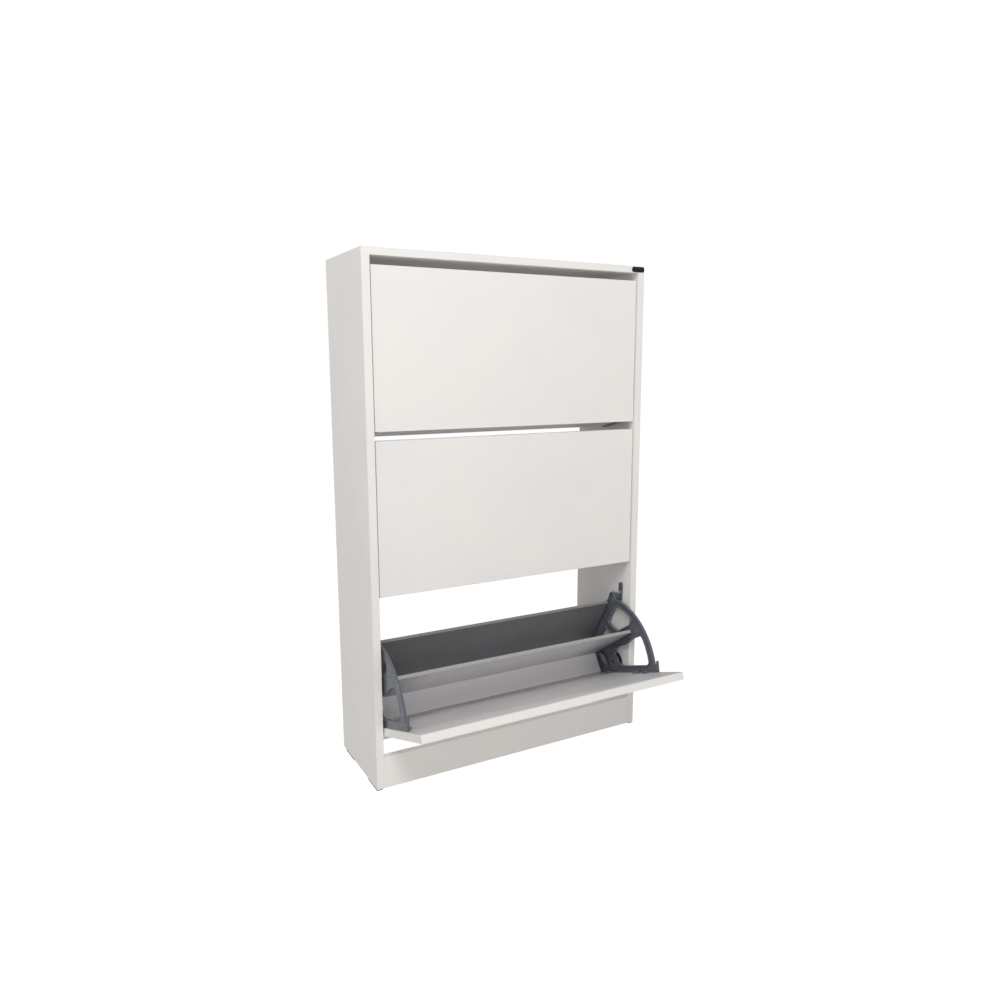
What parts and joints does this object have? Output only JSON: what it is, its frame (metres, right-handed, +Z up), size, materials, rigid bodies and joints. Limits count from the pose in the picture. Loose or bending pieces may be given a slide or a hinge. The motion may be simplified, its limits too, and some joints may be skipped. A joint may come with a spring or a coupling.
{
  "type": "shoe cabinet",
  "caption": "Tall slim shoe cabinet with open back and tilting flap compartments, each with a divider and moulded side brackets.",
  "frame": {"origin": "middle of the cabinet's width, on the wall plane behind it, at floor level", "axes": "+Z up, front towards -Y, wall at Y = 0, +X to the right as seen from the front"},
  "size_m": [0.7254, 0.4607, 1.19],
  "materials": {
    "melamine_white": "satin",
    "thin_board_white": "satin",
    "bracket_plastic": null,
    "pivot_plastic": null,
    "stop_plastic": null,
    "glide_plastic": null,
    "screw_steel": null,
    "cam_zinc": null,
    "dowel_wood": "matte",
    "plate_black": null
  },
  "bodies": {
    "carcass": {"side_panel_left": "melamine_white", "side_panel_right": "melamine_white", "top_panel": "melamine_white", "plinth": "melamine_white", "rear_rail_low": "melamine_white", "rear_rail_high": "melamine_white", "dowels": "dowel_wood", "cam_discs": "cam_zinc", "cam_bolts": "cam_zinc", "glides": "glide_plastic", "name_plate": "plate_black", "pivot_screws": "screw_steel", "stop_screws": "screw_steel", "pivot_top_left": "pivot_plastic", "stop_top_left": "stop_plastic", "pivot_top_right": "pivot_plastic", "stop_top_right": "stop_plastic", "pivot_middle_left": "pivot_plastic", "stop_middle_left": "stop_plastic", "pivot_middle_right": "pivot_plastic", "stop_middle_right": "stop_plastic", "pivot_low_left": "pivot_plastic", "stop_low_left": "stop_plastic", "pivot_low_right": "pivot_plastic", "stop_low_right": "stop_plastic"},
    "flap_top": {"flap_top_door": "melamine_white", "flap_top_bracket_left": "bracket_plastic", "flap_top_bracket_right": "bracket_plastic", "flap_top_floor_board": "thin_board_white", "flap_top_rear_board": "thin_board_white", "flap_top_divider_board": "thin_board_white", "flap_top_screws": "screw_steel"},
    "flap_middle": {"flap_middle_door": "melamine_white", "flap_middle_bracket_left": "bracket_plastic", "flap_middle_bracket_right": "bracket_plastic", "flap_middle_floor_board": "thin_board_white", "flap_middle_rear_board": "thin_board_white", "flap_middle_divider_board": "thin_board_white", "flap_middle_screws": "screw_steel"},
    "flap_low": {"flap_low_door": "melamine_white", "flap_low_bracket_left": "bracket_plastic", "flap_low_bracket_right": "bracket_plastic", "flap_low_floor_board": "thin_board_white", "flap_low_rear_board": "thin_board_white", "flap_low_divider_board": "thin_board_white", "flap_low_screws": "screw_steel"}
  },
  "joints": [
    {"name": "flap_top_tilt", "type": "hinge", "parent": "carcass", "child": "flap_top", "pos_m": [0, -0.1916, 0.8875], "axis": [1, 0, 0], "range_deg": [0, 70.7]},
    {"name": "flap_middle_tilt", "type": "hinge", "parent": "carcass", "child": "flap_middle", "pos_m": [0, -0.1916, 0.5245], "axis": [1, 0, 0], "range_deg": [0, 70.7]},
    {"name": "flap_low_tilt", "type": "hinge", "parent": "carcass", "child": "flap_low", "pos_m": [0, -0.1916, 0.1615], "axis": [1, 0, 0], "range_deg": [-70.7, 0]}
  ]
}
